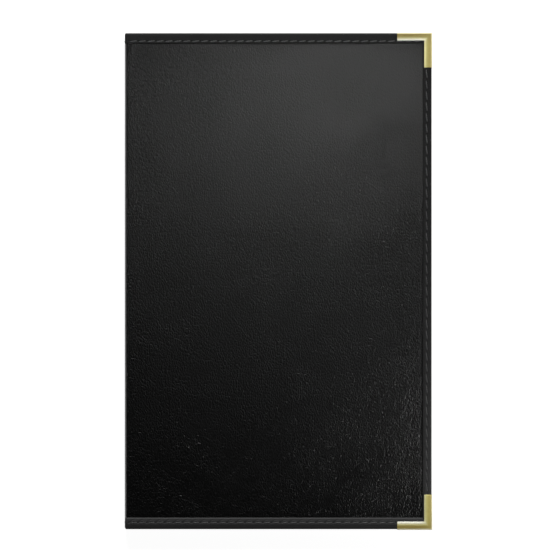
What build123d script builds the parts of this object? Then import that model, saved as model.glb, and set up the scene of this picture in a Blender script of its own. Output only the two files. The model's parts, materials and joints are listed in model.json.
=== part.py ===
from build123d import *
import math
import os

# Menu sheet held by each pocket, the room left round it, and its distance from the fold end of the panel
sheet_width = 215.9
sheet_height = 355.6
sheet_clearance = 1.4
fold_margin = 4.9

# Width of the edge binding on the face of a cover, from its outer edge to its inner edge
top_binding_width = 7.9
bottom_binding_width = 8.7
side_binding_width = 6.8

# Thickness of each layer of a cover
skin_thickness = 0.7
board_thickness = 1.8
lining_thickness = 0.4
sheet_space = 0.3
film_thickness = 0.25
binding_thickness = 0.8
corner_thickness = 0.45

# Radius of the binding where it turns round the edge of the cover, and of its two inner edges
binding_bend_radius = 0.7
binding_tip_radius = 0.3

# Brass corner clip: length and width of an arm, its bend, and the rounding of its free edges
corner_arm_length = 26.5
corner_arm_width = 6.2
corner_bend_radius = 0.8
corner_tip_radius = 0.2

# Distance of the film's open edge from the fold end of the panel
film_inset = 1.5

# Gap between the two closed covers, and running gaps at the two fold lines
closing_gap = 0.3
fold_clearance = 0.3
skin_fold_clearance = 0.1

# Lockstitch: distance from one stitch to the next, the bare stretch between them, and the thread
face_stitch_pitch = 6.72
side_stitch_pitch = 8.22
stitch_gap = 0.8
stitch_slant = 5.0
thread_width = 0.7
thread_height = 0.4
thread_clearance = 0.05

# Distance of each stitch row from the inner edge of its binding
top_stitch_margin = 1.75
bottom_stitch_margin = 3.8
side_stitch_margin = 3.0

# Depths below the outermost face of a cover, which is the outer face of its corner clips
outer_binding_depth = corner_thickness
skin_depth = outer_binding_depth + binding_thickness
board_depth = skin_depth + skin_thickness
lining_depth = board_depth + board_thickness
film_depth = lining_depth + lining_thickness + sheet_space
inner_binding_depth = film_depth + film_thickness
inner_corner_depth = inner_binding_depth + binding_thickness
cover_thickness = inner_corner_depth + corner_thickness
closed_thickness = 2 * cover_thickness + closing_gap

# The flexible strip of the spine is the skin with the lining on it, and folds about the middle of its ends
strip_thickness = skin_thickness + lining_thickness
strip_radius = strip_thickness / 2
bound_strip_radius = strip_radius + binding_thickness
fold_depth = skin_depth + strip_radius
spine_length = closed_thickness - 2 * fold_depth

# Places across the cover, with the middle of the whole object at zero
fold_to_panel = bound_strip_radius + fold_clearance
panel_width = fold_margin + sheet_width + sheet_clearance + side_binding_width
overall_width = bound_strip_radius + fold_to_panel + panel_width + corner_thickness
fold_x = -overall_width / 2 + bound_strip_radius
panel_left = fold_x + fold_to_panel
binding_right = panel_left + panel_width
panel_right = binding_right - binding_thickness

# Places up the cover
cover_height = bottom_binding_width + sheet_height + 2 * sheet_clearance + top_binding_width
binding_top = cover_height / 2
panel_top = binding_top - binding_thickness
panel_height = 2 * panel_top
face_top = binding_top - top_binding_width
face_bottom = bottom_binding_width - binding_top

# Groove that the slanting stitches lie in
longest_stitch = max(face_stitch_pitch, side_stitch_pitch) - stitch_gap
stitch_run = longest_stitch * math.sin(math.radians(stitch_slant))
groove_width = thread_width + stitch_run + 2 * thread_clearance

# The back cover lies under the front cover, so the way in from its outer face is up, and for the front down
inward = {"back": 1, "front": -1}
outer_level = {"back": 0, "front": closed_thickness}

# The top edge is at the upper end of the cover and the bottom edge at its lower end
end_sign = {"top": 1, "bottom": -1}
end_binding_width = {"top": top_binding_width, "bottom": bottom_binding_width}
end_stitch_margin = {"top": top_stitch_margin, "bottom": bottom_stitch_margin}

os.makedirs("parts", exist_ok=True)


def level(cover, depth):
    """Plane that lies the given depth inside the outermost face of a cover."""
    return Plane.XY.offset(outer_level[cover] + inward[cover] * depth)


def finish(piece, name):
    """Label a finished piece and write its file."""
    piece.part.label = name
    export_step(piece.part, f"parts/{name}.step")


def stitch_row_y(end):
    """Height of the stitch row in the binding at the top or bottom edge."""
    return end_sign[end] * (binding_top - end_binding_width[end] + end_stitch_margin[end])


def stitch_row_x():
    """Place of the stitch row in the binding at the free side."""
    return binding_right - side_binding_width + side_stitch_margin


def panel_outline():
    """Rectangle that the layers of a cover share, drawn in the sketch that calls it."""
    with Locations(((panel_left + panel_right) / 2, 0)):
        Rectangle(panel_right - panel_left, panel_height)


def make_board(cover):
    """Stiff grey board in the middle of a cover."""
    with BuildPart() as board:
        with BuildSketch(level(cover, board_depth)):
            panel_outline()
        extrude(amount=inward[cover] * board_thickness)
    finish(board, f"{cover}_board")


def make_lining(cover):
    """Thin lining on the inner face of the board."""
    with BuildPart() as lining:
        with BuildSketch(level(cover, lining_depth)):
            panel_outline()
        extrude(amount=inward[cover] * lining_thickness)
    finish(lining, f"{cover}_lining")


def make_skin(cover):
    """Outer leatherette of a cover, with a tongue that runs on to the fold line between the bindings."""
    tongue_left = fold_x + strip_radius + skin_fold_clearance
    with BuildPart() as skin:
        with BuildSketch(level(cover, skin_depth)):
            panel_outline()
            with Locations(((tongue_left + panel_left) / 2, (face_top + face_bottom) / 2)):
                Rectangle(panel_left - tongue_left, face_top - face_bottom)
        extrude(amount=inward[cover] * skin_thickness)
    finish(skin, f"{cover}_skin")


def make_pocket(cover):
    """Clear film held by the binding on three sides and open towards the fold."""
    film_left = panel_left + film_inset
    with BuildPart() as pocket:
        with BuildSketch(level(cover, film_depth)):
            with Locations(((film_left + panel_right) / 2, 0)):
                Rectangle(panel_right - film_left, panel_height)
        extrude(amount=inward[cover] * film_thickness)
    finish(pocket, f"{cover}_pocket")


def channel(width, height, wall, bend_radius, tip_radius):
    """Upright U section, open to the left, with its outer edge at zero and its middle at half height."""
    with BuildSketch(mode=Mode.PRIVATE) as section:
        with Locations((-width / 2, 0)):
            Rectangle(width, height)
        fillet(section.vertices().group_by(Axis.X)[-1], bend_radius)
        with Locations((-wall - width / 2, 0)):
            Rectangle(width, height - 2 * wall, mode=Mode.SUBTRACT)
        fillet(section.vertices().group_by(Axis.X)[0], tip_radius)
    return section.sketch


def binding_section(width, stitch_margin):
    """Section of a binding: a channel with a shallow groove for the thread in each of its two faces."""
    height = inner_corner_depth - outer_binding_depth
    with BuildSketch(mode=Mode.PRIVATE) as section:
        add(channel(width, height, binding_thickness, binding_bend_radius, binding_tip_radius))
        with Locations((stitch_margin - width, height / 2), (stitch_margin - width, -height / 2)):
            Rectangle(groove_width, 2 * thread_height, mode=Mode.SUBTRACT)
    return section.sketch


def binding_middle(cover):
    """Height of the middle of a binding."""
    return outer_level[cover] + inward[cover] * (outer_binding_depth + inner_corner_depth) / 2


def mitre_plane(end):
    """Upright plane through a free corner of the cover and the corner of the two bindings' inner edges."""
    across = Vector(-side_binding_width, -end_sign[end] * end_binding_width[end], 0)
    corner = Vector(binding_right, end_sign[end] * binding_top, 0)
    return Plane(origin=corner, x_dir=across, z_dir=across.cross(Vector(0, 0, end_sign[end])))


def make_end_binding(cover, end):
    """Folded strip along the top or bottom edge of a cover, mitred at the free corner."""
    start = Vector(panel_left, end_sign[end] * binding_top, binding_middle(cover))
    section_plane = Plane(origin=start, x_dir=(0, end_sign[end], 0), z_dir=(1, 0, 0))
    with BuildPart() as binding:
        with BuildSketch(section_plane):
            add(binding_section(end_binding_width[end], end_stitch_margin[end]))
        extrude(amount=panel_width)
        split(bisect_by=mitre_plane(end), keep=Keep.TOP)
    finish(binding, f"{cover}_{end}_binding")


def make_side_binding(cover):
    """Folded strip along the free side of a cover, mitred at both corners."""
    start = Vector(binding_right, -binding_top, binding_middle(cover))
    section_plane = Plane(origin=start, x_dir=(1, 0, 0), z_dir=(0, 1, 0))
    with BuildPart() as binding:
        with BuildSketch(section_plane):
            add(binding_section(side_binding_width, side_stitch_margin))
        extrude(amount=cover_height)
        split(bisect_by=mitre_plane("top"), keep=Keep.BOTTOM)
        split(bisect_by=mitre_plane("bottom"), keep=Keep.BOTTOM)
    finish(binding, f"{cover}_side_binding")


def thread_levels(cover):
    """The plane of each groove's floor, with the way from it to the face of the binding."""
    outer_floor = level(cover, outer_binding_depth + thread_height)
    inner_floor = level(cover, inner_corner_depth - thread_height)
    return ((outer_floor, -inward[cover]), (inner_floor, inward[cover]))


def make_end_stitching(cover, end):
    """Stitches along the top or bottom edge, on both faces of a cover."""
    row_length = panel_width - side_binding_width
    count = int(row_length / face_stitch_pitch)
    with BuildPart() as stitching:
        for floor, outward in thread_levels(cover):
            with BuildSketch(floor):
                with Locations((panel_left + row_length / 2, stitch_row_y(end))):
                    with GridLocations(face_stitch_pitch, 1, count, 1):
                        SlotOverall(face_stitch_pitch - stitch_gap, thread_width, rotation=stitch_slant)
            extrude(amount=outward * thread_height)
    finish(stitching, f"{cover}_{end}_stitching")


def make_side_stitching(cover):
    """Stitches along the free side, on both faces of a cover."""
    count = int((face_top - face_bottom) / side_stitch_pitch)
    slant = 90 + stitch_slant
    with BuildPart() as stitching:
        for floor, outward in thread_levels(cover):
            with BuildSketch(floor):
                with Locations((stitch_row_x(), (face_top + face_bottom) / 2)):
                    with GridLocations(1, side_stitch_pitch, 1, count):
                        SlotOverall(side_stitch_pitch - stitch_gap, thread_width, rotation=slant)
            extrude(amount=outward * thread_height)
    finish(stitching, f"{cover}_side_stitching")


def make_corner(cover, end):
    """Brass clip folded over the binding at a free corner: a channel that follows the two edges."""
    outer_x = binding_right + corner_thickness
    outer_y = end_sign[end] * (binding_top + corner_thickness)
    middle = outer_level[cover] + inward[cover] * cover_thickness / 2
    arm_start = Vector(outer_x - corner_arm_length, outer_y, middle)
    corner = Vector(outer_x, outer_y, middle)
    arm_end = Vector(outer_x, outer_y - end_sign[end] * corner_arm_length, middle)
    section = channel(
        corner_arm_width, cover_thickness, corner_thickness, corner_bend_radius, corner_tip_radius
    )
    with BuildPart() as clip:
        with BuildLine() as edge_line:
            Polyline(arm_start, corner, arm_end)
        with BuildSketch(Plane(origin=arm_start, x_dir=(0, end_sign[end], 0), z_dir=(1, 0, 0))):
            add(section)
        sweep(path=edge_line.wires()[0], transition=Transition.RIGHT)
    finish(clip, f"{cover}_{end}_corner")


def spine_plane(y):
    """Upright plane across the spine strip at the given height up the cover, facing down the cover."""
    return Plane(origin=(fold_x, y, closed_thickness / 2), x_dir=(1, 0, 0), z_dir=(0, -1, 0))


def make_spine_strip(name, layer_left, layer_right):
    """One layer of the spine strip, whose two ends are round about the fold lines."""
    with BuildPart() as strip:
        with BuildSketch(spine_plane(panel_top)):
            SlotCenterToCenter(spine_length, strip_thickness, rotation=90)
            with Locations(((layer_left + layer_right) / 2, 0)):
                Rectangle(layer_right - layer_left, closed_thickness, mode=Mode.INTERSECT)
        extrude(amount=panel_height)
    finish(strip, name)


def make_spine_binding(end):
    """Folded strip over the top or bottom end of the spine, with the thread's groove in its two faces."""
    width = end_binding_width[end]
    outer_y = end_sign[end] * binding_top
    with BuildPart() as binding:
        with BuildSketch(spine_plane(outer_y)):
            SlotCenterToCenter(spine_length, 2 * bound_strip_radius, rotation=90)
        extrude(amount=end_sign[end] * width)
        with BuildSketch(spine_plane(end_sign[end] * panel_top)):
            SlotCenterToCenter(spine_length, strip_thickness, rotation=90)
        extrude(amount=end_sign[end] * width, mode=Mode.SUBTRACT)
        with BuildSketch(spine_plane(stitch_row_y(end))):
            with Locations((-bound_strip_radius, 0), (bound_strip_radius, 0)):
                Rectangle(2 * thread_height, spine_length)
        extrude(amount=groove_width / 2, both=True, mode=Mode.SUBTRACT)
    finish(binding, f"spine_{end}_binding")


def make_spine_stitching():
    """Stitches that carry the two end rows across the spine, on its outer and inner faces."""
    count = max(1, int(spine_length / face_stitch_pitch))
    groove_floor = bound_strip_radius - thread_height
    with BuildPart() as stitching:
        for side in (-1, 1):
            floor_plane = Plane(
                origin=(fold_x + side * groove_floor, 0, closed_thickness / 2),
                x_dir=(0, 1, 0),
                z_dir=(side, 0, 0),
            )
            with BuildSketch(floor_plane):
                with Locations((stitch_row_y("top"), 0), (stitch_row_y("bottom"), 0)):
                    with GridLocations(1, face_stitch_pitch, 1, count):
                        SlotOverall(face_stitch_pitch - stitch_gap, thread_width, rotation=90)
            extrude(amount=thread_height)
    finish(stitching, "spine_stitching")


for cover in ("back", "front"):
    make_skin(cover)
    make_board(cover)
    make_lining(cover)
    make_pocket(cover)
    make_side_binding(cover)
    make_side_stitching(cover)
    for end in ("top", "bottom"):
        make_end_binding(cover, end)
        make_end_stitching(cover, end)
        make_corner(cover, end)

make_spine_strip("spine_skin", -strip_radius, skin_thickness - strip_radius)
make_spine_strip("spine_lining", skin_thickness - strip_radius, strip_radius)
for end in ("top", "bottom"):
    make_spine_binding(end)
make_spine_stitching()
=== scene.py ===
import functools
import json
import math

import bmesh
import bpy
import numpy as np
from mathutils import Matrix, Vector


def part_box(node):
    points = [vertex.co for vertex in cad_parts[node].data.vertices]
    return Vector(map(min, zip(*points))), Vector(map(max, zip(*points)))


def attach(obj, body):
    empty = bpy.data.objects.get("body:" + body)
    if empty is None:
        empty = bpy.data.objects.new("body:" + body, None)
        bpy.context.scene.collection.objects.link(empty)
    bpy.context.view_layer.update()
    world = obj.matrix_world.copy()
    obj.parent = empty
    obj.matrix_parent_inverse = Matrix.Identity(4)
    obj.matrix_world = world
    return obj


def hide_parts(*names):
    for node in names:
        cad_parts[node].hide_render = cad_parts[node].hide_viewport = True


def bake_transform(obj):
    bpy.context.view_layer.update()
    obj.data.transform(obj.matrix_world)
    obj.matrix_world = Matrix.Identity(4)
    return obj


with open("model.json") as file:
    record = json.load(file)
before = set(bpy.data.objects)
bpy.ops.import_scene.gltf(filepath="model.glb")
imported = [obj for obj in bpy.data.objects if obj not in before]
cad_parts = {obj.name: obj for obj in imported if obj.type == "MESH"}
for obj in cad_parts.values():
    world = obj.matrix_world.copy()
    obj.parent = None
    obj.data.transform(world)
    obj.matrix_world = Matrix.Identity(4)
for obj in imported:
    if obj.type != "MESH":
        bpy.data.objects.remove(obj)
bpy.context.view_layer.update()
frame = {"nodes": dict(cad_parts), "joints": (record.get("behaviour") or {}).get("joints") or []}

MM = 0.001
COVERS = ("back", "front")
ENDS = ("top", "bottom")
END_SIGN = {"top": 1, "bottom": -1}

# Where the photograph was taken from: its frame is 560 px square
PHOTO_PX = 560
METRES_PER_PX = 0.7556 * MM
OBJECT_CENTRE_PX = (278.2, 281.17)
CAMERA_HEIGHT = 2.5
SENSOR_WIDTH = 36.0

# Distance between the points of each kind of mesh
PANEL_STEP = 2.6 * MM
INNER_STEP = 4 * MM
BINDING_STEP = 0.42 * MM
SIDE_BINDING_STEP = BINDING_STEP * 1.2
SPINE_BINDING_STEP = 0.6 * MM
SECTION_STEP = 0.36 * MM

# Share of a layer's thickness that its sheet has, which keeps it clear of the layer behind
SKIN_SHARE = 0.8
LINING_SHARE = 0.6
BINDING_SHARE = 0.7
SPINE_BINDING_SHARE = 0.6

# Uneven swell: how many waves, how long they are, each surface's seed, and how two surfaces squeeze them
WAVES = 7
WAVE_LENGTHS_MM = (45, 130)
SKIN_SEED = {"front": 11, "back": 12}
FILM_SEED = {"front": 21, "back": 22}
BINDING_SEED = 5
FILM_SQUEEZE = 1.3
BINDING_SQUEEZE = (6, 3)

# Half of the length across a fold between the points that the skin and the binding pass to bend
SKIN_REACH = 0.45 * MM
BINDING_REACH = 0.25 * MM

# Skin: radius of the fold, and how far the skin and the bound ends of the closed spine stand out
SKIN_FOLD_RADIUS = 1.0 * MM
SPINE_BULGE = 1.05 * MM
BOUND_BULGE = 0.12 * MM

# Panel: its swell, how far from the binding and the fold that rises, and the dip beside the binding
PANEL_SWELL = 0.07 * MM
SWELL_RISE = 25 * MM
FOLD_RISE = (1 * MM, 20 * MM)
EDGE_DIP = 0.14 * MM
EDGE_DIP_WIDTH = 1.6 * MM
DIP_RISE = 3 * MM

# Shift of the grain on the front cover, so that the two covers don't look alike
FRONT_GRAIN = 0.5

# Lining: (x, depth) steps in mm round the board's edge and into the fold, and lengths along its line
LINING_OVER = ((0.3, 0), (0.08, -0.08), (-0.02, -0.3))
LINING_DOWN = ((-0.02, 0),)
LINING_FOOT = ((-0.02, 0.2), (-0.08, 0.05), (-0.27, 0))
LINING_HEEL = ((0, 0.02),)
LINING_STOP = 0.5 * MM
LINING_BEND = 0.12 * MM
LINING_RISE = 0.6 * MM

# Binding: run and fall of its outer edge, its inner edge and the lean towards that
OUTER_EASE = {"top": (1.9 * MM, 0.75 * MM), "bottom": (3.4 * MM, 0.75 * MM), "side": (1.9 * MM, 0.75 * MM)}
INNER_EASE = {"top": (0.5 * MM, 0.3 * MM), "bottom": (1.5 * MM, 0.42 * MM), "side": (0.7 * MM, 0.3 * MM)}
INNER_LEAN = {"top": (1.0 * MM, 0.0), "bottom": (3.4 * MM, 0.36 * MM), "side": (1.0 * MM, 0.0)}

# Binding: its round lower end, how much of its width follows that, and where its inner face turns in
LOWER_CORNER = 1.2 * MM
CORNER_RUN = 3 * MM
TURN_IN = 0.1 * MM
TURN_IN_SHARES = (0.3, 0.65, 1.0)

# Depths of the valley, holes and creases that the thread pulls in, and heights of the puckers and waves
THREAD_VALLEY = 0.1 * MM
NEEDLE_DIP = 0.16 * MM
CREASE = 0.2 * MM
PUCKER = 0.13 * MM
FACE_WAVE = 0.03 * MM

# Widths of those forms, the puckers' distance from the row, and their least and inner share
VALLEY_WIDTH = 0.55 * MM
SPINE_VALLEY_WIDTH = 0.5 * MM
HOLE_WIDTH = 0.5 * MM
CREASE_WIDTH = 0.55 * MM
PUCKER_OFFSET = 1.05 * MM
OUTER_PUCKER_WIDTH = 0.6 * MM
INNER_PUCKER_WIDTH = 0.55 * MM
INNER_PUCKER = 0.7
PUCKER_LEAST = 0.3

# Creases: how far from the row they are whole, how far they run, and their slope
CREASE_START = 0.5 * MM
CREASE_RUN = 3.0 * MM
CREASE_SLOPE = 0.75

# Distances over which the pull fades: past the last hole, before a clip, and at the two edges of a strip
ROW_FADE = 1.5 * MM
CLIP_FADE = 3 * MM
INNER_FADE = 0.5 * MM
OUTER_FADE = (1.5 * MM, 0.7 * MM)

# A place past the cover, for the row at the free side, which no clip presses flat
NO_CLIP = 1.0

# Lockstitch: pitches and gap as the solids have them
FACE_PITCH = 6.72 * MM
SIDE_PITCH = 8.22 * MM
STITCH_GAP = 0.8 * MM

# Thread: its slant, ply and turns, how deep its ends dive, how it rises, and how far a clip presses it
STITCH_SLANT = math.radians(8.0)
THREAD_RADIUS = 0.4 * MM
END_THICKNESS = 0.6
PLY = 0.17
THREAD_TURNS = 2.5
STITCH_SINK = 0.62 * MM
STITCH_RISE = 0.5 * MM
STITCH_ROUNDNESS = 3.2
PRESSED = 0.3 * MM

# Brass clip: width of an arm, outer bend, flat part, fall and roll of the inner edge, and corner inside
CLIP_WIDTH = 6.2 * MM
CLIP_BEND = 0.55 * MM
CLIP_FLAT = 2.6 * MM
CLIP_FALL = 0.3 * MM
CLIP_ROLL = 0.4 * MM
CLIP_TIP_FALL = 0.05 * MM
CLIP_TIP_SHARE = 0.4
CLIP_INNER_EASE = 0.3 * MM
CLIP_SHARP = math.radians(38)

# A clip's arm: its eased sections, as (distance from the end, ease), and where its plain ones start and stop
CLIP_END_EASE = ((0.0, 0.14 * MM), (0.1 * MM, 0.04 * MM), (0.3 * MM, 0.0))
CLIP_PLAIN = (3 * MM, 9 * MM)

# Pocket film: slack in its middle, lift of its open edge, and how far from the edges each rises
FILM_SLACK = 0.12 * MM
SLACK_RISE = 18 * MM
LIP_LIFT = 0.3 * MM
LIP_RUN = 14 * MM

# Shares of the cover's height per metre, for the panel's grain and for what changes up the cover
GRAIN_SHARE = 2.4
COVER_SHARE = 2.66

# Floor: half of its side, and how far it lies below the clips
FLOOR_HALF = 12.0
FLOOR_DROP = 0.05 * MM

joints = {j["name"]: j for j in frame["joints"]}


@functools.cache
def box(node):
    """Lowest and highest corner of a solid."""
    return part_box(node)


def low(node):
    """Lowest corner of a solid."""
    return box(node)[0]


def high(node):
    """Highest corner of a solid."""
    return box(node)[1]


def row_middle(node):
    """Middle of a stitch row's box."""
    return (low(node) + high(node)) / 2


# Depths are measured inward from the outermost face of a cover, so one set of depths serves both covers
CLOSED = high("front_top_corner").z
FOLD_X = joints["spine_fold"]["pos_m"][0]
FOLD_DEPTH = joints["spine_fold"]["pos_m"][2]
BINDING_DEPTH = low("back_top_binding").z
INNER_FACE_DEPTH = high("back_top_binding").z
SKIN_DEPTH = low("back_skin").z
SKIN_THICKNESS = high("back_skin").z - SKIN_DEPTH
LINING_FACE_DEPTH = high("back_lining").z
LINING_THICKNESS = LINING_FACE_DEPTH - low("back_lining").z
FILM_DEPTH = low("back_pocket").z
FILM_THICKNESS = high("back_pocket").z - FILM_DEPTH
BINDING_THICKNESS = SKIN_DEPTH - BINDING_DEPTH
COVER_DEPTH = high("back_top_corner").z
STRIP_RADIUS = FOLD_DEPTH - SKIN_DEPTH
BOUND_RADIUS = STRIP_RADIUS + BINDING_THICKNESS
HALF_HEIGHT = (INNER_FACE_DEPTH - BINDING_DEPTH) / 2

PANEL_LEFT = low("back_board").x
PANEL_RIGHT = high("back_board").x
PANEL_TOP = high("back_board").y
BINDING_RIGHT = high("back_side_binding").x
BINDING_TOP = high("back_top_binding").y
CLIP_EDGE = high("back_top_corner").x - BINDING_RIGHT
CLIP_ARM = high("back_top_corner").x - low("back_top_corner").x
SIDE_WIDTH = BINDING_RIGHT - low("back_side_binding").x
END_WIDTH = {
    "top": BINDING_TOP - low("back_top_binding").y,
    "bottom": high("back_bottom_binding").y + BINDING_TOP,
}
END_ROW_Y = {end: row_middle(f"back_{end}_stitching").y for end in ENDS}
SIDE_ROW_X = row_middle("back_side_stitching").x

# Inner edges of the bindings, and where the arms of the clips begin
INNER_RIGHT = BINDING_RIGHT - SIDE_WIDTH
INNER_TOP = BINDING_TOP - END_WIDTH["top"]
INNER_BOTTOM = END_WIDTH["bottom"] - BINDING_TOP
CLIP_START_X = BINDING_RIGHT + CLIP_EDGE - CLIP_ARM
CLIP_START_Y = BINDING_TOP + CLIP_EDGE - CLIP_ARM
CLIP_INNER_Y = BINDING_TOP + CLIP_EDGE - CLIP_WIDTH


# Mesh helpers

def to_world(points, cover):
    """Turn (x, y, depth) points of a cover into places in the frame."""
    placed = np.array(points, float)
    if cover == "front":
        placed[..., 2] = CLOSED - placed[..., 2]
    return placed


def add_object(name, vertices, faces, uvs=None):
    """Mesh object with smooth faces and, where given, one UV for each vertex."""
    mesh = bpy.data.meshes.new(name)
    places = np.asarray(vertices, float).reshape(-1, 3).tolist()
    mesh.from_pydata(places, [], [list(map(int, f)) for f in faces])
    mesh.update()
    if uvs is not None:
        layer = mesh.uv_layers.new(name="UVMap")
        corner = np.zeros(len(mesh.loops), np.int32)
        mesh.loops.foreach_get("vertex_index", corner)
        layer.data.foreach_set("uv", np.asarray(uvs, float).reshape(-1, 2)[corner].ravel())
    mesh.shade_smooth()
    piece = bpy.data.objects.new(name, mesh)
    bpy.context.scene.collection.objects.link(piece)
    return piece


def grid_faces(rows, cols, wrap=False):
    """Four-sided faces of a grid of points, wrapped round its columns where asked."""
    index = np.arange(rows * cols).reshape(rows, cols)
    if wrap:
        index = np.concatenate([index, index[:, :1]], axis=1)
    return np.stack([index[:-1, :-1], index[1:, :-1], index[1:, 1:], index[:-1, 1:]], axis=-1).reshape(-1, 4)


def facing(grid, towards):
    """Faces of a grid, turned so that on the whole they look in a direction."""
    points = grid.reshape(-1, 3)
    faces = grid_faces(*grid.shape[:2])
    first, second, third, fourth = (points[faces[:, i]] for i in range(4))
    total = np.cross(third - first, fourth - second).sum(axis=0)
    return faces if total @ np.array(towards, float) > 0 else faces[:, ::-1]


def closed_outward(piece):
    """Turn the faces of a closed mesh outward."""
    shell = bmesh.new()
    shell.from_mesh(piece.data)
    bmesh.ops.recalc_face_normals(shell, faces=shell.faces)
    shell.to_mesh(piece.data)
    shell.free()


def sheet_object(name, grid, uvs, towards, thickness):
    """Sheet of even thickness: the grid is its shown face, looking that way, and its body lies behind."""
    piece = add_object(name, grid, facing(grid, towards), uvs)
    solid = piece.modifiers.new("thickness", "SOLIDIFY")
    solid.thickness = thickness
    solid.offset = -1
    return piece


def finish_piece(piece, material, slot, *nodes):
    """Give a piece its material and hide the solids that it stands for; slot is not used."""
    piece.data.materials.append(material)
    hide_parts(*nodes)


def out_of(cover):
    """Direction in which the outer face of a cover looks."""
    return (0, 0, -1 if cover == "back" else 1)


def into(cover):
    """Direction in which the inner face of a cover looks."""
    return (0, 0, 1 if cover == "back" else -1)


def smoothstep(value, start, end):
    """Smooth rise from 0 at start to 1 at end."""
    t = np.clip((value - start) / (end - start), 0, 1)
    return t * t * (3 - 2 * t)


def bell(value, width):
    """1 at zero, falling off smoothly over a width on both sides."""
    return np.exp(-(value / width) ** 2)


def lengths_along(points):
    """Distance along a line of points, from its first."""
    steps = np.linalg.norm(np.diff(points, axis=0), axis=1)
    return np.concatenate([[0], np.cumsum(steps)])


def pairs(first, second):
    """Two numbers at each point of a grid."""
    return np.stack(np.broadcast_arrays(first, second), axis=-1)


def slow_waves(x, y, seed):
    """Gentle uneven swell between about -1 and 1, from a few long waves."""
    waves = np.random.default_rng(seed)
    total = np.zeros(np.broadcast(x, y).shape)
    for _ in range(WAVES):
        angle = waves.uniform(0, math.pi)
        length = waves.uniform(*WAVE_LENGTHS_MM) * MM
        phase = waves.uniform(0, 2 * math.pi)
        total = total + np.sin(2 * math.pi * (x * math.cos(angle) + y * math.sin(angle)) / length + phase)
    return total / WAVES


# Materials

def new_material(name):
    """New material, its node tree and its principled shader."""
    material = bpy.data.materials.new(name)
    material.use_nodes = True
    tree = material.node_tree
    return material, tree, tree.nodes["Principled BSDF"]


def wire(tree, made, **inputs):
    """Set inputs of a node, by name or as i0, i1 and so on, to values, or link them to sockets."""
    for key, value in inputs.items():
        by_number = key[0] == "i" and key[1:].isdigit()
        socket = made.inputs[int(key[1:]) if by_number else key.replace("_", " ")]
        if isinstance(value, bpy.types.NodeSocket):
            tree.links.new(value, socket)
        else:
            socket.default_value = value
    return made


def node(tree, kind, settings=None, **inputs):
    """New node with settings on it and its inputs wired."""
    made = tree.nodes.new(kind)
    for key, value in (settings or {}).items():
        setattr(made, key, value)
    return wire(tree, made, **inputs)


def maths(tree, operation, first, second=0.5):
    """Result of a sum, product or like operation on two values."""
    return node(tree, "ShaderNodeMath", {"operation": operation}, i0=first, i1=second).outputs[0]


def weighted(tree, *parts):
    """Sum of (value, weight) parts."""
    products = [maths(tree, "MULTIPLY", value, weight) for value, weight in parts]
    return functools.reduce(functools.partial(maths, tree, "ADD"), products)


def ramp(tree, value, stops):
    """Colour ramp through (place, grey or colour) stops."""
    made = node(tree, "ShaderNodeValToRGB", i0=value)
    elements = made.color_ramp.elements
    while len(elements) < len(stops):
        elements.new(0.5)
    for element, (place, colour) in zip(elements, stops):
        element.position = place
        element.color = (colour, colour, colour, 1) if isinstance(colour, (int, float)) else (*colour, 1)
    return made.outputs[0]


def texture_space(tree, kind):
    """Texture coordinates of a kind, such as UV or Object."""
    return node(tree, "ShaderNodeTexCoord").outputs[kind]


def stretched(tree, vector, x, y, z=1.0):
    """Texture coordinates stretched by a factor on each axis."""
    return node(tree, "ShaderNodeMapping", Vector=vector, Scale=(x, y, z)).outputs[0]


def noise(tree, vector, scale, detail, roughness=0.5):
    """Noise between 0 and 1."""
    return node(tree, "ShaderNodeTexNoise", Vector=vector, Scale=scale, Detail=detail,
                Roughness=roughness).outputs["Fac"]


def bumped(tree, height, strength, distance):
    """Normal bent by a height."""
    return node(tree, "ShaderNodeBump", Height=height, Strength=strength, Distance=distance).outputs[0]


def share_up(tree, vector, per_metre):
    """Share of the way up the cover, which is one half at its middle."""
    up = node(tree, "ShaderNodeSeparateXYZ", Vector=vector).outputs["Y"]
    return maths(tree, "ADD", maths(tree, "MULTIPLY", up, per_metre), 0.5)


def leather_grain(tree, uv, grain_mm):
    """Pebbled cells, crease lines, fine wrinkles, streaks and clouds: the cells are longer up the cover."""
    cells_per_metre = 1 / (grain_mm * MM)
    warp = node(tree, "ShaderNodeTexNoise", Vector=uv, Scale=220.0, Detail=3.0, Roughness=0.6)
    bent = node(tree, "ShaderNodeMix", {"data_type": "VECTOR"}, i0=0.0014, i4=uv, i5=warp.outputs["Color"])
    grain_space = stretched(tree, bent.outputs[1], 1.0, 0.58)
    cells = node(tree, "ShaderNodeTexVoronoi", {"feature": "SMOOTH_F1"}, Vector=grain_space,
                 Scale=cells_per_metre, Smoothness=0.35)
    creases = node(tree, "ShaderNodeTexVoronoi", {"feature": "DISTANCE_TO_EDGE"}, Vector=grain_space,
                   Scale=cells_per_metre * 0.62)
    crease_line = ramp(tree, creases.outputs["Distance"], [(0.0, 0.0), (0.16, 0.8), (0.4, 1.0)])
    fine = noise(tree, grain_space, cells_per_metre * 2.4, 3.0, 0.65)
    streaks = noise(tree, stretched(tree, uv, 1.0, 0.16), cells_per_metre * 0.8, 2.0)
    return cells.outputs["Distance"], crease_line, fine, streaks, noise(tree, uv, 38.0, 4.0, 0.6)


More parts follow.
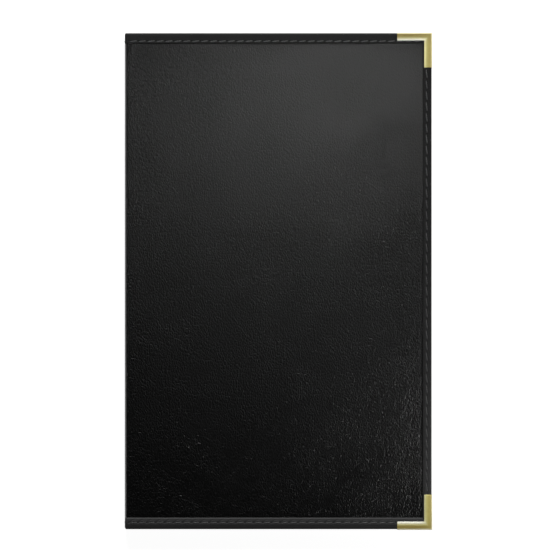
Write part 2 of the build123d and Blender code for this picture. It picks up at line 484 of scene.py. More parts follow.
def leather(name, colour_low, colour_high, grain_mm, grain_depth, rough_low, rough_high, even):
    """Embossed leatherette with cloudy patches and painted shade in its crease lines.

    Even leather has the same grain all over and loses its sheen up the cover; the other kind loses its grain.
    """
    material, tree, shader = new_material(name)
    uv = texture_space(tree, "UV")
    pebble, crease_line, fine, streaks, cloud = leather_grain(tree, uv, grain_mm)
    height = weighted(tree, (pebble, -0.55), (crease_line, 0.5), (fine, 0.15), (streaks, 0.4))
    height = maths(tree, "MULTIPLY", height, ramp(tree, cloud, [(0.36, 0.55), (0.66, 0.88)]))
    if even:
        up = share_up(tree, texture_space(tree, "Object"), COVER_SHARE)
        wire(tree, shader, Specular_IOR_Level=ramp(tree, up, [(0.03, 0.6), (0.3, 0.3), (0.9, 0.18)]))
    else:
        depth = ramp(tree, share_up(tree, uv, GRAIN_SHARE), [(0.1, 1.0), (0.5, 0.85), (0.9, 0.45)])
        height = maths(tree, "MULTIPLY", height, depth)
    # Painted shade: the colour is darker in the crease lines; the cloudy patches are the leather's own tone
    tone = maths(tree, "MULTIPLY", crease_line, cloud)
    wear = weighted(tree, (cloud, 0.6), (streaks, 0.4))
    wire(tree, shader, Base_Color=ramp(tree, tone, [(0.05, colour_low), (0.7, colour_high)]),
         Roughness=ramp(tree, wear, [(0.35, rough_high), (0.65, rough_low)]),
         Normal=bumped(tree, height, 1.0, grain_depth))
    return material


def thread_material():
    """Waxed black thread with a fine fibre along it."""
    material, tree, shader = new_material("thread")
    fibre = noise(tree, texture_space(tree, "Object"), 5200.0, 2.0)
    wire(tree, shader, Base_Color=ramp(tree, fibre, [(0.3, 0.02), (0.7, 0.045)]), Roughness=0.42,
         Sheen_Weight=0.3, Normal=bumped(tree, fibre, 0.6, 0.05 * MM))
    return material


def brass_colour_with_painted_light(tree, where, across):
    """Colour with painted light: painted highlights pale at both edges of an arm, a darker painted reflection
    between them, and painted shade that makes the middle darkest at the head of the cover.
    """
    # Painted highlights at the pale edges of each arm and a darker painted reflection in its middle, on the
    # end arm and on the side arm
    end_arm = ramp(tree, across.outputs["X"], [
        (0.0, (0.60, 0.51, 0.2)), (0.04, (0.88, 0.84, 0.62)), (0.1, (0.84, 0.79, 0.55)),
        (0.2, (0.36, 0.28, 0.07)), (0.45, (0.38, 0.30, 0.08)),
        (0.66, (0.70, 0.63, 0.28)), (0.83, (0.95, 0.93, 0.74)), (1.0, (0.98, 0.97, 0.84))])
    side_arm = ramp(tree, across.outputs["X"], [
        (0.0, (0.60, 0.51, 0.2)), (0.04, (0.88, 0.83, 0.54)), (0.08, (0.84, 0.78, 0.48)),
        (0.2, (0.55, 0.46, 0.15)), (0.5, (0.60, 0.51, 0.15)),
        (0.75, (0.74, 0.68, 0.26)), (0.95, (0.84, 0.79, 0.42))])
    mixed = node(tree, "ShaderNodeMix", {"data_type": "RGBA"}, i0=across.outputs["Y"], i6=end_arm,
                 i7=side_arm)
    # Painted shade: the middle of each arm is darkened more the nearer it lies to the head of the cover
    at_head = ramp(tree, share_up(tree, where, COVER_SHARE), [(0.1, 0.0), (0.9, 0.32)])
    between = ramp(tree, across.outputs["X"], [(0.1, 0.0), (0.22, 1.0), (0.6, 1.0), (0.85, 0.0)])
    painted_head_shade = maths(tree, "MULTIPLY", at_head, between)
    return mixed.outputs[2], maths(tree, "SUBTRACT", 1.0, painted_head_shade)


def brass_material():
    """Plated brass, dulled at random, with painted highlights and painted shade in its colour, and drawn
    lines.
    """
    material, tree, shader = new_material("brass")
    where = texture_space(tree, "Object")
    across = node(tree, "ShaderNodeSeparateXYZ", Vector=texture_space(tree, "UV"))
    colour, head_shade_factor = brass_colour_with_painted_light(tree, where, across)
    dull = noise(tree, where, 320.0, 4.0, 0.6)
    shade = maths(tree, "MULTIPLY", ramp(tree, dull, [(0.3, 0.93), (0.7, 1.0)]), head_shade_factor)
    toned = node(tree, "ShaderNodeMix", {"data_type": "RGBA", "blend_type": "MULTIPLY"}, i0=1.0, i6=colour,
                 i7=shade)
    lines = noise(tree, stretched(tree, where, 1.0, 1.0, 0.2), 900.0, 3.0)
    wire(tree, shader, Base_Color=toned.outputs[2], Metallic=0.3,
         Roughness=ramp(tree, dull, [(0.3, 0.54), (0.7, 0.46)]), Normal=bumped(tree, lines, 0.2, 0.03 * MM))
    return material


def lining_material():
    """Black matt lining with a fine plain weave."""
    material, tree, shader = new_material("lining")
    uv = texture_space(tree, "UV")
    warp, weft = (node(tree, "ShaderNodeTexWave", {"bands_direction": way}, Vector=uv, Scale=900.0,
                       Distortion=0.6).outputs["Fac"] for way in "XY")
    weave = maths(tree, "MULTIPLY", warp, weft)
    tone = weighted(tree, (weave, 0.5), (noise(tree, uv, 160.0, 4.0), 0.5))
    wire(tree, shader, Base_Color=ramp(tree, tone, [(0.2, 0.006), (0.8, 0.02)]), Roughness=0.7,
         Normal=bumped(tree, weave, 0.5, 0.08 * MM))
    return material


def film_material():
    """Clear vinyl with a faint ripple and light scuffs."""
    material, tree, shader = new_material("clear_film")
    uv = texture_space(tree, "UV")
    ripple = noise(tree, stretched(tree, uv, 1.0, 0.5), 45.0, 2.0)
    scuff = noise(tree, uv, 420.0, 5.0)
    wire(tree, shader, Base_Color=(0.94, 0.95, 0.96, 1), Transmission_Weight=1.0, IOR=1.5,
         Roughness=ramp(tree, scuff, [(0.45, 0.05), (0.75, 0.15)]),
         Normal=bumped(tree, ripple, 0.4, 0.5 * MM))
    return material


def board_material():
    """Grey pulp board with flecks."""
    material, tree, shader = new_material("chipboard")
    pulp = noise(tree, texture_space(tree, "Object"), 700.0, 6.0, 0.7)
    colour = ramp(tree, pulp, [(0.3, (0.24, 0.225, 0.2)), (0.7, (0.44, 0.42, 0.39))])
    wire(tree, shader, Base_Color=colour, Roughness=0.9, Normal=bumped(tree, pulp, 0.5, 0.1 * MM))
    return material


# Fold axes, points either side of them, and the middle of the closed spine

def fold_axis(cover):
    """A point on the line about which a cover and the spine turn on each other."""
    return Vector(joints["spine_fold" if cover == "back" else "cover_fold"]["pos_m"])


def fold_points(cover, reach):
    """Start and end of the bend across a fold line, that far either side of its axis."""
    to_panel = Vector((reach, 0, -reach if cover == "back" else reach))
    return fold_axis(cover) + to_panel, fold_axis(cover) - to_panel


def bend(piece, cover, on_panel, on_spine):
    """Bake a piece's place into its mesh."""
    if cover == "back":
        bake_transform(piece)
    else:
        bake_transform(piece)


def half_way(depth):
    """How near a depth is to the middle of the closed spine: 0 at the folds and 1 half way."""
    share = (depth - FOLD_DEPTH) / (CLOSED - 2 * FOLD_DEPTH)
    return np.sin(np.clip(share, 0, 1) * math.pi)


# Skin

def full_height(x, step):
    """x and y of a grid of points that has a column up the whole panel at each x."""
    return np.meshgrid(x, np.linspace(-PANEL_TOP, PANEL_TOP, int(2 * PANEL_TOP / step)))


def edge_distance(x, y):
    """Distance from a place on the panel to the inner edge of the nearest binding."""
    return np.minimum(np.minimum(INNER_TOP - y, y - INNER_BOTTOM), INNER_RIGHT - x)


def skin_path():
    """Line of the skin from the free edge of the panel, round the fold and up to the middle of the spine."""
    outer_x = FOLD_X - STRIP_RADIUS
    centre = np.array([outer_x + SKIN_FOLD_RADIUS, SKIN_DEPTH + SKIN_FOLD_RADIUS])
    panel_x = np.arange(PANEL_RIGHT, centre[0], -PANEL_STEP)
    angles = np.radians(np.linspace(270, 180, 10))
    arc = centre + SKIN_FOLD_RADIUS * pairs(np.cos(angles), np.sin(angles))
    depths = np.linspace(centre[1], CLOSED / 2, 8)[1:]
    path = np.concatenate([pairs(panel_x, SKIN_DEPTH), arc, pairs(outer_x, depths)])
    path[:, 0] -= SPINE_BULGE * half_way(path[:, 1])
    return path


def make_skin(cover, material):
    """Outer leatherette of one cover and its half of the spine, bending at the fold."""
    path = skin_path()
    along = lengths_along(path)
    x, y = full_height(path[:, 0], PANEL_STEP)
    to_edge = edge_distance(x, y)
    open_panel = smoothstep(to_edge, 0, SWELL_RISE) * smoothstep(x - FOLD_X, *FOLD_RISE)
    swell = 0.5 * (1 + slow_waves(x, y, SKIN_SEED[cover]))
    dip = EDGE_DIP * (1 - smoothstep(to_edge, 0, EDGE_DIP_WIDTH)) * smoothstep(x - FOLD_X, 0, DIP_RISE)
    depth = path[:, 1] - PANEL_SWELL * swell * open_panel + dip
    grid = to_world(np.stack([x, y, depth], axis=-1), cover)
    uvs = pairs(along[None, :] + (FRONT_GRAIN if cover == "front" else 0), y)
    piece = sheet_object(f"{cover}_outer_skin", grid, uvs, out_of(cover), SKIN_THICKNESS * SKIN_SHARE)
    nodes = [f"{cover}_skin"] + (["spine_skin"] if cover == "front" else [])
    finish_piece(piece, material, "leatherette", *nodes)
    bend(piece, cover, *fold_points(cover, SKIN_REACH))


# Lining

def corner(x, depth, steps):
    """Points round a corner, from (x, depth) steps in mm."""
    return [(x + right * MM, depth + down * MM) for right, down in steps]


def lining_path():
    """Line of the lining: across the board, down its edge at the fold, and up to the middle of the spine."""
    face = LINING_FACE_DEPTH
    valley = FOLD_DEPTH + STRIP_RADIUS
    wall = FOLD_X + STRIP_RADIUS
    path = [(x, face) for x in np.arange(PANEL_RIGHT, PANEL_LEFT + LINING_STOP, -INNER_STEP)]
    path += corner(PANEL_LEFT, face, LINING_OVER) + corner(PANEL_LEFT, (face + valley) / 2, LINING_DOWN)
    path += corner(PANEL_LEFT, valley, LINING_FOOT) + [(wall + LINING_BEND, valley)]
    path += corner(wall, valley, LINING_HEEL)
    return np.array(path + [(wall, d) for d in np.linspace(valley + LINING_RISE, CLOSED / 2, 6)])


def make_lining(cover, material):
    """Lining of one cover and of its half of the spine."""
    path = lining_path()
    along = lengths_along(path)
    x, y = full_height(path[:, 0], INNER_STEP)
    grid = to_world(np.stack([x, y, np.broadcast_to(path[:, 1], x.shape)], axis=-1), cover)
    piece = sheet_object(f"{cover}_lining_sheet", grid, pairs(along[None, :], y), into(cover),
                         LINING_THICKNESS * LINING_SHARE)
    nodes = [f"{cover}_lining"] + (["spine_lining"] if cover == "front" else [])
    finish_piece(piece, material, "lining", *nodes)
    height = fold_axis(cover).z
    wall = FOLD_X + STRIP_RADIUS
    bend(piece, cover, Vector((wall + LINING_BEND, 0, height)), Vector((wall, 0, height)))


# Binding

def half_section(width, depth_at_middle, edge):
    """(out from the inner edge, down from the face) points of half a binding, to the middle of its wall."""
    inner_run, inner_fall = INNER_EASE[edge]
    lean_run, lean_fall = INNER_LEAN[edge]
    outer_run, outer_fall = OUTER_EASE[edge]
    inner_wall = [(0, BINDING_THICKNESS), (0, (BINDING_THICKNESS + inner_fall + lean_fall) / 2)]
    face = [(inner_run * (1 - math.cos(a)), inner_fall * (1 - math.sin(a)))
            for a in np.radians(np.linspace(0, 78, 7))]
    stops = max(6, int((width - inner_run - outer_run) / SECTION_STEP))
    face += [(t, 0) for t in np.linspace(inner_run, width - outer_run, stops)]
    face = [(t, down + lean_fall * max(0, 1 - t / lean_run)) for t, down in face]
    outer = [(width - outer_run * (1 - math.sin(a)), outer_fall * (1 - math.cos(a)))
             for a in np.radians(np.linspace(12, 90, 8))]
    outer += [(width, (outer_fall + depth_at_middle) / 2), (width, depth_at_middle)]
    return np.array(inner_wall + face + outer)


def row_shape(along, out, row, pitch, holes, flat_from, crease_way):
    """How far the thread pulls the face in (down is positive) at a place along and across the binding."""
    first_hole, last_hole = holes
    beside = out - row
    phase = (along - first_hole) / pitch
    from_hole = (phase - np.round(phase)) * pitch
    in_row = smoothstep(along, first_hole - ROW_FADE, first_hole)
    in_row = in_row * (1 - smoothstep(along, last_hole, last_hole + ROW_FADE))
    loose = 1 - smoothstep(along, flat_from - CLIP_FADE, flat_from)
    valley = THREAD_VALLEY * bell(beside, VALLEY_WIDTH)
    hole = NEEDLE_DIP * bell(from_hole, HOLE_WIDTH) * bell(beside, HOLE_WIDTH)
    swell = 0.5 - 0.5 * np.cos(2 * math.pi * phase)
    outside = bell(beside - PUCKER_OFFSET, OUTER_PUCKER_WIDTH)
    inside = INNER_PUCKER * bell(beside + PUCKER_OFFSET, INNER_PUCKER_WIDTH)
    pucker = PUCKER * (outside + inside) * (PUCKER_LEAST + (1 - PUCKER_LEAST) * swell) * loose
    reach = np.clip(-beside, 0, None)
    behind = along - first_hole - crease_way * reach / CREASE_SLOPE
    from_crease = (behind / pitch - np.round(behind / pitch)) * pitch
    crease = CREASE * bell(from_crease, CREASE_WIDTH) * (1 - smoothstep(reach, CREASE_RUN * 0.5, CREASE_RUN))
    crease = crease * smoothstep(reach, 0, CREASE_START) * abs(crease_way) * loose
    wave = slow_waves(along * BINDING_SQUEEZE[0], out * BINDING_SQUEEZE[1], BINDING_SEED)
    return (valley + hole - pucker + crease) * in_row - FACE_WAVE * wave * loose


def on_face(out, width):
    """1 on the face of a strip, falling to 0 at its inner edge and where its outer edge is eased."""
    at_outer = smoothstep(out, width - OUTER_FADE[0], width - OUTER_FADE[1])
    return smoothstep(out, 0, INNER_FADE) * (1 - at_outer)


def needle_holes(row_low, row_high, pitch):
    """First and last needle hole of a row of stitches, and how many stitches lie between."""
    count = round((row_high - row_low + STITCH_GAP) / pitch)
    middle = (row_low + row_high) / 2
    return middle - count * pitch / 2, middle + count * pitch / 2, count


def end_holes(cover, end):
    """Needle holes at the top or bottom, from the spine to the free side."""
    row = f"{cover}_{end}_stitching"
    return needle_holes(low(row).x, high(row).x, FACE_PITCH)


def side_holes(cover):
    """Needle holes at the free side, from the bottom to the top."""
    row = f"{cover}_side_stitching"
    return needle_holes(low(row).y, high(row).y, SIDE_PITCH)


def row_place(end):
    """Distance of the row at the top or bottom from the inner edge of its strip."""
    return END_WIDTH[end] - (BINDING_TOP - abs(END_ROW_Y[end]))


def end_pull(cover, end, x, out):
    """Pull of the thread on the strip at the top or bottom, which is creased at the bottom alone."""
    way = 1 if end == "bottom" else 0
    pull = row_shape(x, out, row_place(end), FACE_PITCH, end_holes(cover, end)[:2], CLIP_START_X, way)
    return pull * on_face(out, END_WIDTH[end])


def corner_pull(end, x):
    """How far the outer edge of the bottom strip draws in towards its round corner at the spine."""
    if end == "top":
        return np.zeros_like(x)
    inside = np.clip(LOWER_CORNER - (x - (FOLD_X - BOUND_RADIUS)), 0, LOWER_CORNER)
    return LOWER_CORNER - np.sqrt(np.maximum(LOWER_CORNER ** 2 - inside ** 2, 0))


def to_strip(down):
    """Share by which a depth shrinks where a cover's bound edge turns into the thinner strip of the spine."""
    return 1 - (1 - BOUND_RADIUS / HALF_HEIGHT) * smoothstep(down, BINDING_THICKNESS, HALF_HEIGHT)


def straight_stations():
    """x of the stations of a strip at the top or bottom, from the mitre to the panel's edge."""
    return np.concatenate([[INNER_RIGHT], np.arange(PANEL_LEFT, INNER_RIGHT, BINDING_STEP)[::-1]])


def outside_stations():
    """Stations of the outer face: from the mitre to the panel's edge, over the fold and up the spine."""
    stations = [("panel", x) for x in straight_stations()]
    stations += [("tuck", x) for x in np.linspace(PANEL_LEFT, FOLD_X, 5)[1:]]
    stations += [("turn", math.radians(a)) for a in np.linspace(270, 180, 12)[1:]]
    return stations + [("spine", d) for d in np.linspace(FOLD_DEPTH, CLOSED / 2, 9)[1:]]


def station_x(place, out, end):
    """x of the section at a place, which slants at the mitre and is straight elsewhere."""
    return place + out * (SIDE_WIDTH / END_WIDTH[end] if place == INNER_RIGHT else 0)


def outside_section(kind, place, out, down, cover, end):
    """x and depth of the outer face's section at one station."""
    if kind in ("panel", "tuck"):
        x = station_x(place, out, end)
        share = (PANEL_LEFT - place) / (PANEL_LEFT - FOLD_X) if kind == "tuck" else 0
        return x, BINDING_DEPTH + (down + end_pull(cover, end, x, out)) * (1 - share * (1 - to_strip(down)))
    drop = down * to_strip(down)
    if kind == "turn":
        radius = BOUND_RADIUS - drop
        return FOLD_X + radius * math.cos(place), FOLD_DEPTH + radius * math.sin(place)
    return FOLD_X - BOUND_RADIUS + drop - BOUND_BULGE * half_way(place), np.full(len(out), place)


def end_binding_outside(cover, end):
    """Points and UVs of the strip's outer face, from the mitre round the fold to the middle of the spine."""
    section = half_section(END_WIDTH[end], HALF_HEIGHT, end)
    out, down = section.T
    near_edge = smoothstep(out, 0, END_WIDTH[end])
    grid = []
    for kind, place in outside_stations():
        x, depth = outside_section(kind, place, out, down, cover, end)
        y = END_SIGN[end] * (BINDING_TOP - END_WIDTH[end] + out - corner_pull(end, x) * near_edge)
        grid.append(np.stack([x, y, depth], axis=1))
    grid = np.array(grid)
    run = lengths_along(grid[:, len(out) // 2])
    return grid, pairs(run[:, None], lengths_along(section))


def end_binding_inside(cover, end):
    """Points and UVs of the strip's inner face, from the mitre to the panel's edge, where it turns in."""
    section = half_section(END_WIDTH[end], HALF_HEIGHT, end)
    out, down = section.T
    stations = [(x, 0.0) for x in straight_stations()]
    stations += [(PANEL_LEFT - TURN_IN, share) for share in TURN_IN_SHARES]
    grid = []
    for place, share in stations:
        x = station_x(place, out, end)
        drop = down + end_pull(cover, end, x, out)
        depth = INNER_FACE_DEPTH - np.minimum(drop + share * HALF_HEIGHT, np.maximum(drop, HALF_HEIGHT))
        y = END_SIGN[end] * (BINDING_TOP - END_WIDTH[end] + out)
        grid.append(np.stack([x, y, depth], axis=1))
    run = BINDING_STEP * np.arange(1, len(stations) + 1)
    return np.array(grid), pairs(run[:, None], lengths_along(section))


def make_end_binding(cover, end, material):
    """Strip at the top or bottom: its outer face bends round the fold, its inner face stays on the cover."""
    for inner_face in (False, True):
        grid, uvs = end_binding_inside(cover, end) if inner_face else end_binding_outside(cover, end)
        towards = into(cover) if inner_face else out_of(cover)
        name = f"{cover}_{end}_binding_{'inside' if inner_face else 'outside'}"
        piece = sheet_object(name, to_world(grid, cover), uvs, towards, BINDING_THICKNESS * BINDING_SHARE)
        finish_piece(piece, material, "binding", f"{cover}_{end}_binding")
        if inner_face:
            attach(piece, f"{cover}_cover")
        else:
            bend(piece, cover, *fold_points(cover, BINDING_REACH))


def side_section(cover, place, slant):
    """Section of the side strip round both faces of a cover, which slants at a mitre."""
    half = half_section(SIDE_WIDTH, HALF_HEIGHT, "side")
    out, down = half.T
    y = place + out * slant
    row = SIDE_ROW_X - INNER_RIGHT
    pull = row_shape(y, out, row, SIDE_PITCH, side_holes(cover)[:2], NO_CLIP, 0) * on_face(out, SIDE_WIDTH)
    to_clip = np.minimum(CLIP_START_Y - y, y + CLIP_START_Y)
    pull = np.where(pull < 0, pull * smoothstep(to_clip, 0, CLIP_FADE), pull)
    outer, inner = (np.stack([INNER_RIGHT + out, y, depth], axis=1)
                    for depth in (BINDING_DEPTH + (down + pull), INNER_FACE_DEPTH - (down + pull)))
    return np.concatenate([outer, inner[::-1][1:]])


def make_side_binding(cover, material):
    """Folded strip along the free side, mitred at both ends."""
    places = np.concatenate([np.arange(INNER_BOTTOM, INNER_TOP, SIDE_BINDING_STEP), [INNER_TOP]])
    slants = np.zeros(len(places))
    slants[0], slants[-1] = -END_WIDTH["bottom"] / SIDE_WIDTH, END_WIDTH["top"] / SIDE_WIDTH
    grid = np.array([side_section(cover, place, slant) for place, slant in zip(places, slants)])
    uvs = [pairs(place, lengths_along(section[:, ::2])) for place, section in zip(places, grid)]
    piece = sheet_object(f"{cover}_side_binding_strip", to_world(grid, cover), np.array(uvs), (1, 0, 0),
                         BINDING_THICKNESS * BINDING_SHARE)
    finish_piece(piece, material, "binding", f"{cover}_side_binding")
    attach(piece, f"{cover}_cover")


def spine_section(kind, place, out, down, row):
    """x and height of the inner strip's section on the spine: flat, or round the low or the high fold."""
    if kind == "flat":
        pull = THREAD_VALLEY * bell(out - row, SPINE_VALLEY_WIDTH)
        return FOLD_X + BOUND_RADIUS - down - pull, np.full(len(out), place)
    radius = BOUND_RADIUS - down
    centre = FOLD_DEPTH if kind == "low" else CLOSED - FOLD_DEPTH
    return FOLD_X + radius * math.cos(math.radians(place)), centre + radius * math.sin(math.radians(place))


def make_spine_binding(end, material):
    """Inner face of the strip over one end of the spine, rounded at both folds."""
    width = END_WIDTH[end]
    section = half_section(width, BOUND_RADIUS, end)
    out, down = section.T
    near_edge = smoothstep(out, width - CORNER_RUN, width)
    stations = [("low", a) for a in np.linspace(270, 360, 9)]
    stations += [("flat", z) for z in np.linspace(FOLD_DEPTH, CLOSED - FOLD_DEPTH, 15)[1:-1]]
    stations += [("high", a) for a in np.linspace(0, 90, 9)]
    grid = []
    for kind, place in stations:
        x, z = spine_section(kind, place, out, down, row_place(end))
        y = END_SIGN[end] * (BINDING_TOP - width + out - corner_pull(end, 2 * FOLD_X - x) * near_edge)
        grid.append(np.stack([x, y, z], axis=1))
    uvs = pairs(SPINE_BINDING_STEP * np.arange(len(stations))[:, None], out)
    piece = sheet_object(f"spine_{end}_binding_inside", np.array(grid), uvs, (1, 0, 0),
                         BINDING_THICKNESS * SPINE_BINDING_SHARE)
    finish_piece(piece, material, "binding", f"spine_{end}_binding")
    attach(piece, "spine")


# Thread

def stitch_points(length, slant):
    """Rings of one stitch along +X, its middle at zero: a two-ply thread whose ends dive into the leather."""
    rings, sides = 17, 10
    share = np.linspace(-1, 1, rings)
    rise = np.sqrt(np.clip(1 - np.abs(share) ** STITCH_ROUNDNESS, 0, 1))
    thick = THREAD_RADIUS * (END_THICKNESS + (1 - END_THICKNESS) * rise)
    angle = np.linspace(0, 2 * math.pi, sides, endpoint=False)
    points = np.zeros((rings, sides, 3))
    for i in range(rings):
        x = share[i] * length / 2
        radius = thick[i] * (1 + PLY * np.cos(2 * (angle - share[i] * math.pi * THREAD_TURNS)))
        points[i, :, 0] = x + 0.25 * radius * np.sin(angle) * np.tan(slant)
        points[i, :, 1] = np.tan(slant) * x + radius * np.cos(angle)
        points[i, :, 2] = -STITCH_SINK + STITCH_RISE * rise[i] + radius * np.sin(angle)
    return points


def tube_faces(rings, sides):
    """Faces of a closed tube: its wall and its two ends."""
    faces = grid_faces(rings, sides, wrap=True).tolist()
    faces.append(list(range(sides)))
    faces.append([(rings - 1) * sides + k for k in range(sides)])
    return faces


def make_stitches(name, placements, pitch, body, material, *nodes):
    """All the stitches of one row: placements are (place, along, across, out) for each stitch."""
    points = stitch_points(pitch - STITCH_GAP, STITCH_SLANT)
    flat = points.reshape(-1, 3)
    faces = tube_faces(*points.shape[:2])
    vertices, all_faces = [], []
    for i, (place, *axes) in enumerate(placements):
        vertices.append(np.asarray(place, float) + flat @ np.array(axes, float))
        all_faces += [[v + i * len(flat) for v in face] for face in faces]
    piece = add_object(name, np.concatenate(vertices), all_faces)
    closed_outward(piece)
    finish_piece(piece, material, "thread", *nodes)
    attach(piece, body)


def face_places(cover):
    """World height and outward direction of a cover's outer face and of its inner face."""
    outward = -1 if cover == "back" else 1
    outer = BINDING_DEPTH if cover == "back" else CLOSED - BINDING_DEPTH
    inner = INNER_FACE_DEPTH if cover == "back" else CLOSED - INNER_FACE_DEPTH
    return ((outer, outward), (inner, -outward))


def make_end_stitching(cover, end, material):
    """The row at the top or bottom, on both faces of a cover, pressed flat where a clip lies over it."""
    first, _, count = end_holes(cover, end)
    row_y = END_ROW_Y[end]
    places = []
    for z, outward in face_places(cover):
        for k in range(count):
            x = first + (k + 0.5) * FACE_PITCH
            under_clip = x > CLIP_START_X and abs(row_y) > CLIP_INNER_Y
            height = z - outward * PRESSED if under_clip else z
            places.append(((x, row_y, height), (1, 0, 0), (0, 1, 0), (0, 0, outward)))
    make_stitches(f"{cover}_{end}_thread", places, FACE_PITCH, f"{cover}_cover", material,
                  f"{cover}_{end}_stitching")


def make_side_stitching(cover, material):
    """The row at the free side, on both faces of a cover."""
    first, _, count = side_holes(cover)
    places = []
    for z, outward in face_places(cover):
        for k in range(count):
            y = first + (k + 0.5) * SIDE_PITCH
            places.append(((SIDE_ROW_X, y, z), (0, -1, 0), (1, 0, 0), (0, 0, outward)))
    make_stitches(f"{cover}_side_thread", places, SIDE_PITCH, f"{cover}_cover", material,
                  f"{cover}_side_stitching")


def make_spine_stitching(material):
    """The stitches that carry the end rows across the spine."""
    places = []
    for end in ENDS:
        for side in (-1, 1):
            bulge = BOUND_BULGE if side < 0 else 0
            place = (FOLD_X + side * (BOUND_RADIUS + bulge), END_ROW_Y[end], CLOSED / 2)
            places.append((place, (0, 0, 1), (0, 1, 0), (side, 0, 0)))
    make_stitches("spine_thread", places, FACE_PITCH, "spine", material, "spine_stitching")


# Brass clips

def clip_section():
    """Closed section of a clip, as (in from the outer edge, depth) points round both faces and the inside."""
    face_u = np.linspace(CLIP_BEND, CLIP_WIDTH - CLIP_ROLL, 12)
    fall = CLIP_FALL * np.clip((face_u - CLIP_FLAT) / (CLIP_WIDTH - CLIP_FLAT), 0, 1) ** 2
    outer = [(CLIP_BEND - CLIP_BEND * math.cos(a), CLIP_BEND - CLIP_BEND * math.sin(a))
             for a in np.radians([0, 18, 36, 54, 72])]
    outer += list(zip(face_u, fall))
    outer += [(face_u[-1] + CLIP_ROLL * math.sin(a),
               fall[-1] + CLIP_TIP_FALL * math.sin(a) + CLIP_ROLL * (1 - math.cos(a)))
              for a in np.radians([25, 50, 72, 90])]
    tip = (CLIP_WIDTH, CLIP_EDGE + fall[-1] * CLIP_TIP_SHARE)
    inside = [(CLIP_EDGE + CLIP_INNER_EASE, CLIP_EDGE), (CLIP_EDGE, CLIP_EDGE + CLIP_INNER_EASE)]
    half = outer + [tip] + inside
    return np.array(half + [(u, COVER_DEPTH - d) for u, d in half[::-1]])


def eased(section, ease):
    """Section of a clip with its outer surfaces drawn in, as in from the outer edge and depth."""
    mid_depth = COVER_DEPTH / 2
    on_wall = section[:, 0] < CLIP_EDGE * 0.5
    on_outside = (np.abs(section[:, 1] - mid_depth) > mid_depth - CLIP_EDGE * 0.95) | on_wall
    in_by = section[:, 0] + np.where(on_wall, ease, 0)
    return in_by, section[:, 1] + np.where(on_outside, ease, 0) * np.sign(mid_depth - section[:, 1])


def clip_rings():
    """Sections of a clip as (kind, distance from the corner, ease), from one arm's end to the other's."""
    stops = [(CLIP_ARM - from_end, ease) for from_end, ease in CLIP_END_EASE]
    stops += [(d, 0.0) for d in np.linspace(CLIP_ARM - CLIP_PLAIN[0], CLIP_PLAIN[1], 6)]
    return [("end", *stop) for stop in stops] + [("mitre", 0, 0)] + [("side", *stop) for stop in stops[::-1]]


def make_clip(cover, end, material):
    """Brass clip folded over a free corner, mitred at the corner and eased at the ends of its arms."""
    section = clip_section()
    share_of_side = {"end": 0.0, "mitre": 0.5, "side": 1.0}
    grid, uvs = [], []
    for kind, distance, ease in clip_rings():
        in_by, depth = eased(section, ease)
        along_x = distance if kind == "end" else in_by
        along_y = distance if kind == "side" else in_by
        x = np.broadcast_to(BINDING_RIGHT + CLIP_EDGE - along_x, in_by.shape)
        y = np.broadcast_to(END_SIGN[end] * (BINDING_TOP + CLIP_EDGE - along_y), in_by.shape)
        grid.append(np.stack([x, y, depth], axis=1))
        uvs.append(pairs(in_by / CLIP_WIDTH, share_of_side[kind]))
    points = to_world(np.array(grid), cover)
    piece = add_object(f"{cover}_{end}_clip", points, tube_faces(*points.shape[:2]), np.array(uvs))
    closed_outward(piece)
    piece.data.set_sharp_from_angle(angle=CLIP_SHARP)
    finish_piece(piece, material, "brass", f"{cover}_{end}_corner")
    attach(piece, f"{cover}_cover")


# Pocket

def make_pocket(cover, material):
    """Clear film of a cover: flat where the binding grips it, faintly slack between, its open edge lifted."""
    film_left = low(f"{cover}_pocket").x
    columns = np.linspace(film_left, PANEL_RIGHT, int((PANEL_RIGHT - film_left) / INNER_STEP))
    x, y = full_height(columns, INNER_STEP)
    slack = smoothstep(edge_distance(x, y), 0, SLACK_RISE)
    wave = 0.5 * (1 + slow_waves(x * FILM_SQUEEZE, y, FILM_SEED[cover]))
    lip = 1 - smoothstep(x, film_left, film_left + LIP_RUN)
    rise = slack * (FILM_SLACK * wave + LIP_LIFT * lip * (0.5 + 0.5 * wave))
    grid = to_world(np.stack([x, y, FILM_DEPTH + FILM_THICKNESS + rise], axis=-1), cover)
    piece = sheet_object(f"{cover}_pocket_film", grid, pairs(x, y), into(cover), FILM_THICKNESS)
    finish_piece(piece, material, "clear_film", f"{cover}_pocket")
    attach(piece, f"{cover}_cover")


# Stage: floor, light and camera

def floor_material():
    """White to the eye and pale to the light, with a faint shadow, and clear from below."""
    material, tree, shader = new_material("white_floor")
    tree.nodes.remove(shader)
    path = node(tree, "ShaderNodeLightPath").outputs
    seen = maths(tree, "MAXIMUM", path["Is Camera Ray"], path["Is Glossy Ray"])
    seen = maths(tree, "MAXIMUM", seen, path["Is Transmission Ray"])
    diffuse = node(tree, "ShaderNodeBsdfDiffuse", Color=(0.3, 0.3, 0.3, 1))
    glow = node(tree, "ShaderNodeEmission", Color=(1, 1, 1, 1), Strength=0.96)
    bright = node(tree, "ShaderNodeAddShader", i0=diffuse.outputs[0], i1=glow.outputs[0])
    plain = node(tree, "ShaderNodeBsdfDiffuse", Color=(0.8, 0.8, 0.8, 1))
    above = node(tree, "ShaderNodeMixShader", i0=seen, i1=plain.outputs[0], i2=bright.outputs[0])
    clear = node(tree, "ShaderNodeBsdfTransparent")
    below = node(tree, "ShaderNodeNewGeometry").outputs["Backfacing"]
    sided = node(tree, "ShaderNodeMixShader", i0=below, i1=above.outputs[0], i2=clear.outputs[0])
    wire(tree, tree.nodes["Material Output"], Surface=sided.outputs[0])
    return material


def make_floor():
    """Floor under the closed cover."""
    corners = [(x * FLOOR_HALF, y * FLOOR_HALF, 0) for x, y in ((-1, -1), (1, -1), (1, 1), (-1, 1))]
    floor = add_object("floor", corners, [(0, 1, 2, 3)])
    floor.location.z = -FLOOR_DROP
    floor.data.materials.append(floor_material())


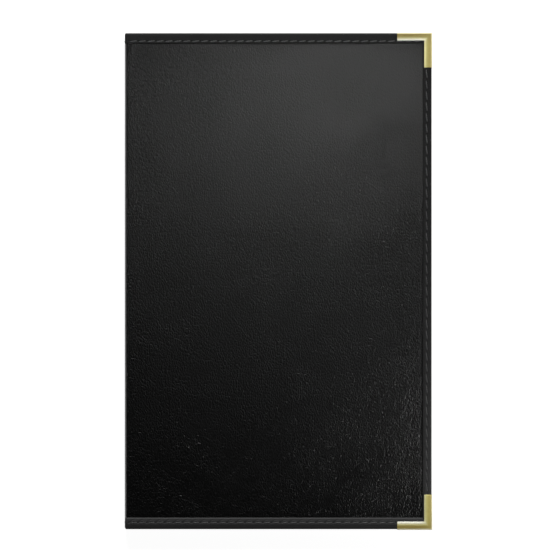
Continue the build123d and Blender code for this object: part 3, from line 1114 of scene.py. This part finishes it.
def make_world():
    """Light tent: pale round the horizon and dark overhead."""
    world = bpy.data.worlds.new("tent")
    bpy.context.scene.world = world
    world.use_nodes = True
    tree = world.node_tree
    height = node(tree, "ShaderNodeSeparateXYZ", Vector=texture_space(tree, "Generated")).outputs["Z"]
    glow = ramp(tree, height, [(0.0, 0.35), (0.3, 0.3), (0.5, 0.08), (0.7, 0.005), (1.0, 0.002)])
    wire(tree, tree.nodes["Background"], Color=glow, Strength=1.0)


def softbox(name, place, target, width, height, power, spread=180):
    """Rectangular lamp that faces a point, its beam held in by a grid where a spread is given."""
    data = bpy.data.lights.new(name, "AREA")
    data.spread = math.radians(spread)
    data.shape = "RECTANGLE"
    data.size, data.size_y = width, height
    data.energy = power
    lamp = bpy.data.objects.new(name, data)
    lamp.location = place
    lamp.rotation_mode = "QUATERNION"
    lamp.rotation_quaternion = (Vector(target) - Vector(place)).to_track_quat("-Z", "Y")
    lamp.visible_camera = False
    bpy.context.scene.collection.objects.link(lamp)


def make_camera():
    """Camera square above the closed cover, framed as the photograph is."""
    data = bpy.data.cameras.new("camera")
    data.sensor_width = SENSOR_WIDTH
    data.lens = SENSOR_WIDTH * (CAMERA_HEIGHT - CLOSED) / (PHOTO_PX * METRES_PER_PX)
    data.clip_start, data.clip_end = 0.01, 50
    camera = bpy.data.objects.new("camera", data)
    outline_middle = (FOLD_X - BOUND_RADIUS + BINDING_RIGHT) / 2
    camera.location = (
        outline_middle + (PHOTO_PX / 2 - OBJECT_CENTRE_PX[0]) * METRES_PER_PX,
        (OBJECT_CENTRE_PX[1] - PHOTO_PX / 2) * METRES_PER_PX,
        CAMERA_HEIGHT,
    )
    bpy.context.scene.collection.objects.link(camera)
    bpy.context.scene.camera = camera


def make_cover():
    """Build every dressed piece of the cover."""
    panel = leather("leatherette", 0.0001, 0.0004, 0.95, 0.42 * MM, 0.29, 0.35, even=False)
    trim = leather("binding_leatherette", 0.0045, 0.0075, 0.8, 0.05 * MM, 0.62, 0.68, even=True)
    thread = thread_material()
    brass = brass_material()
    lining = lining_material()
    film = film_material()
    board = board_material()
    for cover in COVERS:
        frame["nodes"][f"{cover}_board"].data.materials.clear()
        frame["nodes"][f"{cover}_board"].data.materials.append(board)
        make_skin(cover, panel)
        make_lining(cover, lining)
        make_side_binding(cover, trim)
        make_pocket(cover, film)
        for end in ENDS:
            make_end_stitching(cover, end, thread)
        make_side_stitching(cover, thread)
        for end in ENDS:
            make_end_binding(cover, end, trim)
            make_clip(cover, end, brass)
    for end in ENDS:
        make_spine_binding(end, trim)
    make_spine_stitching(thread)


def make_stage():
    """Floor, light and camera."""
    make_floor()
    make_world()
    softbox("key", (0.16, 0.178, 0.9), (-0.01, 0.137, 0.0), 0.1, 0.1, 0.056, spread=35.5)
    softbox("window", (0.1, 1.4, 0.95), (0.0, 0.0, 0.0), 0.9, 0.3, 36.0)
    softbox("side", (0.526, -0.212, 0.35), (0.20, -0.119, 0.0), 0.14, 0.14, 0.072, spread=28.4)
    make_camera()
    bpy.context.scene.view_settings.view_transform = "Standard"


make_cover()
make_stage()
